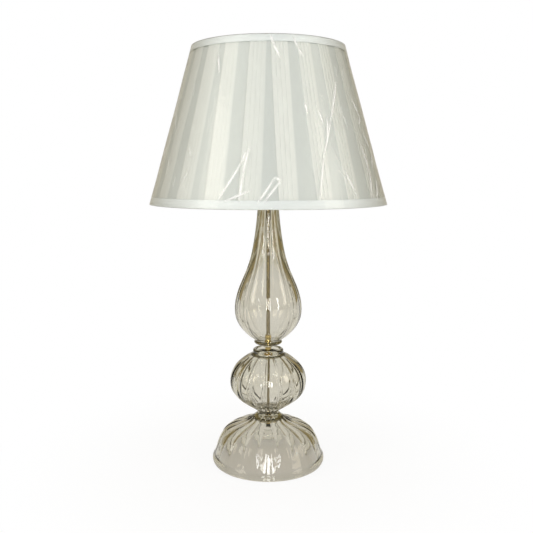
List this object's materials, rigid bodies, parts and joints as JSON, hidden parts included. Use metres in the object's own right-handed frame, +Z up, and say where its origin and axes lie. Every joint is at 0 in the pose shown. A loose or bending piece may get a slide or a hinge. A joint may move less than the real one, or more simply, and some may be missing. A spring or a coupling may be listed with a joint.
{
  "type": "table lamp",
  "caption": "Table lamp: ribbed glass dome, ball and teardrop on a thin stem tube, with a socket, a wire harp and a pleated empire shade in clear film.",
  "frame": {"origin": "centre of the glass foot on the surface the lamp stands on", "axes": "+Z up along the stem, front towards -Y, the harp's legs on the left and right (-X and +X)"},
  "size_m": [0.4059, 0.406, 0.7307],
  "materials": {
    "champagne_glass": "clear blown glass, pale champagne tint, ribbed",
    "brass": "polished brass",
    "brass_plated_steel": "brass-plated steel wire",
    "steel": "plated steel",
    "clear_gasket": "translucent silicone rubber",
    "black_phenolic": "moulded phenolic",
    "fibre_card": "waxed fibre card",
    "aluminium_cap": "rolled aluminium",
    "frosted_glass": "frosted white glass",
    "white_wire": "white powder-coated wire",
    "shade_liner_card": "translucent white styrene",
    "pleated_fabric": "off-white pleated cotton",
    "trim_tape": "off-white bias tape",
    "clear_film": "clear crinkled film"
  },
  "bodies": {
    "lamp": {"base_glass": "champagne_glass", "ball_glass": "champagne_glass", "teardrop_glass": "champagne_glass", "stem_tube": "brass", "glass_gaskets": "clear_gasket", "stem_washer": "brass", "stem_nut": "brass", "cord_bush": "black_phenolic", "lower_spacer": "brass", "upper_spacer": "brass", "neck_cap": "brass", "neck_collar": "brass", "harp_saddle": "brass", "socket_cap": "brass", "socket_set_screw": "steel", "socket_shell": "brass", "socket_liner": "fibre_card", "socket_interior": "black_phenolic", "terminal_screws": "steel", "screw_shell": "aluminium_cap", "centre_contact": "brass"},
    "harp": {"harp_loop": "brass_plated_steel"},
    "harp_sleeve_left": {"harp_sleeve_left": "brass"},
    "harp_sleeve_right": {"harp_sleeve_right": "brass"},
    "harp_stud": {"harp_top_stud": "brass"},
    "shade": {"shade_top_ring": "white_wire", "shade_bottom_ring": "white_wire", "shade_spider": "white_wire", "shade_liner": "shade_liner_card", "shade_fabric": "pleated_fabric", "shade_top_trim": "trim_tape", "shade_bottom_trim": "trim_tape", "shade_film": "clear_film"},
    "finial": {"finial": "brass"},
    "bulb": {"bulb_glass": "frosted_glass", "bulb_screw_base": "aluminium_cap", "bulb_tip_contact": "steel"},
    "switch": {"switch_shaft": "steel", "switch_knob": "black_phenolic"}
  },
  "joints": [
    {"name": "harp_lift", "type": "slide", "parent": "lamp", "child": "harp", "axis": [0, 0, 1], "range_m": [0, 0.03]},
    {"name": "sleeve_left_lift", "type": "slide", "parent": "harp", "child": "harp_sleeve_left", "axis": [0, 0, 1], "range_m": [0, 0.018]},
    {"name": "sleeve_right_lift", "type": "slide", "parent": "harp", "child": "harp_sleeve_right", "axis": [0, 0, 1], "range_m": [0, 0.018]},
    {"name": "shade_turn", "type": "hinge", "parent": "harp", "child": "harp_stud", "pos_m": [0, 0, 0.7057], "axis": [0, 0, 1], "continuous": true},
    {"name": "shade_lift", "type": "slide", "parent": "harp_stud", "child": "shade", "axis": [0, 0, 1], "range_m": [0, 0.03]},
    {"name": "finial_turn", "type": "hinge", "parent": "shade", "child": "finial", "pos_m": [0, 0, 0.7097], "axis": [0, 0, 1], "continuous": true},
    {"name": "bulb_out", "type": "slide", "parent": "lamp", "child": "bulb", "axis": [0, 0, 1], "range_m": [0, 0.028]},
    {"name": "switch_turn", "type": "hinge", "parent": "lamp", "child": "switch", "pos_m": [0, -0.02, 0.5071], "axis": [0, -1, 0], "continuous": true}
  ]
}
